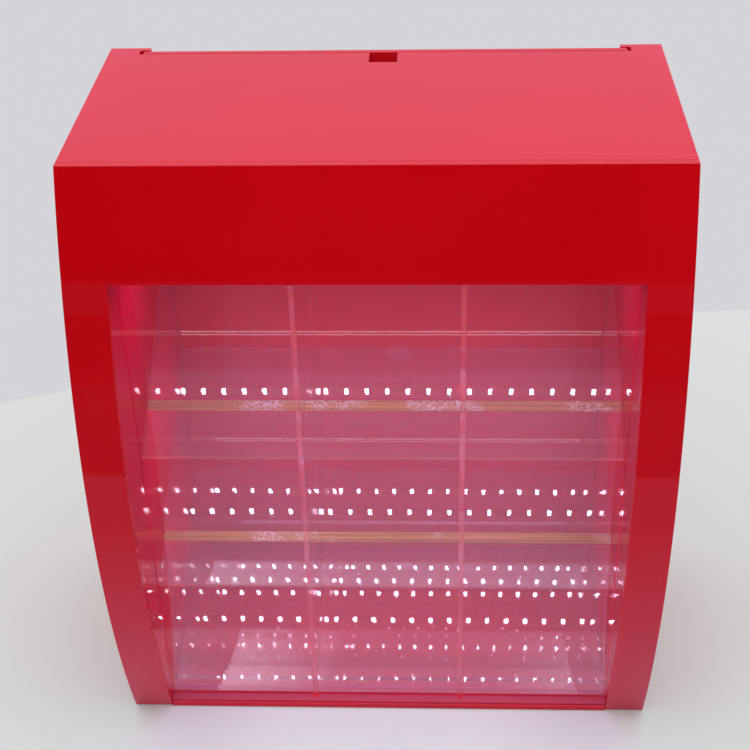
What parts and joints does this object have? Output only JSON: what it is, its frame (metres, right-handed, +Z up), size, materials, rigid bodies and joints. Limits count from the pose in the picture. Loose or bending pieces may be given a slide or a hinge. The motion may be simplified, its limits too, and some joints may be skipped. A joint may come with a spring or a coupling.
{
  "type": "lit acrylic display box",
  "caption": "Table-top box in red acrylic with a bowed window frame, clear sloping shelves and dividers, light tapes and a rear door that lifts out of grooves.",
  "frame": {"origin": "middle of the base of the bounding box, on the surface that the box stands on", "axes": "+X to the right seen from the front, -Y out of the bowed front, +Z up"},
  "size_m": [0.4, 0.2442, 0.47],
  "materials": {
    "red_acrylic": "polished solid red acrylic sheet",
    "clear_acrylic": "polished clear acrylic sheet",
    "tape_film": "amber film with gum, white chips below",
    "black_plastic": "moulded black",
    "nickel": "nickel plated",
    "lead_sheath": "black cable sheath"
  },
  "bodies": {
    "case": {"fascia_front": "red_acrylic", "top_panel": "red_acrylic", "bottom_panel": "red_acrylic", "side_panel_left": "red_acrylic", "side_panel_right": "red_acrylic", "inner_side_left": "red_acrylic", "inner_side_right": "red_acrylic", "rear_strip_left": "red_acrylic", "rear_strip_right": "red_acrylic", "groove_spacer_left": "red_acrylic", "groove_spacer_right": "red_acrylic", "front_window": "clear_acrylic", "light_plate": "clear_acrylic", "shelf_top": "clear_acrylic", "shelf_middle": "clear_acrylic", "shelf_bottom": "clear_acrylic", "divider_top_left": "clear_acrylic", "divider_top_right": "clear_acrylic", "divider_middle_left": "clear_acrylic", "divider_middle_right": "clear_acrylic", "divider_bottom_left": "clear_acrylic", "divider_bottom_right": "clear_acrylic", "led_tape_top": "tape_film", "led_tape_middle": "tape_film", "led_tape_bottom": "tape_film", "power_jack": "black_plastic", "jack_nut": "nickel", "lead_top": "lead_sheath", "lead_middle": "lead_sheath", "lead_bottom": "lead_sheath"},
    "door": {"rear_door": "red_acrylic"}
  },
  "joints": [
    {"name": "door_slide", "type": "slide", "parent": "case", "child": "door", "axis": [0, 0, 1], "range_m": [0, 0.477]}
  ]
}
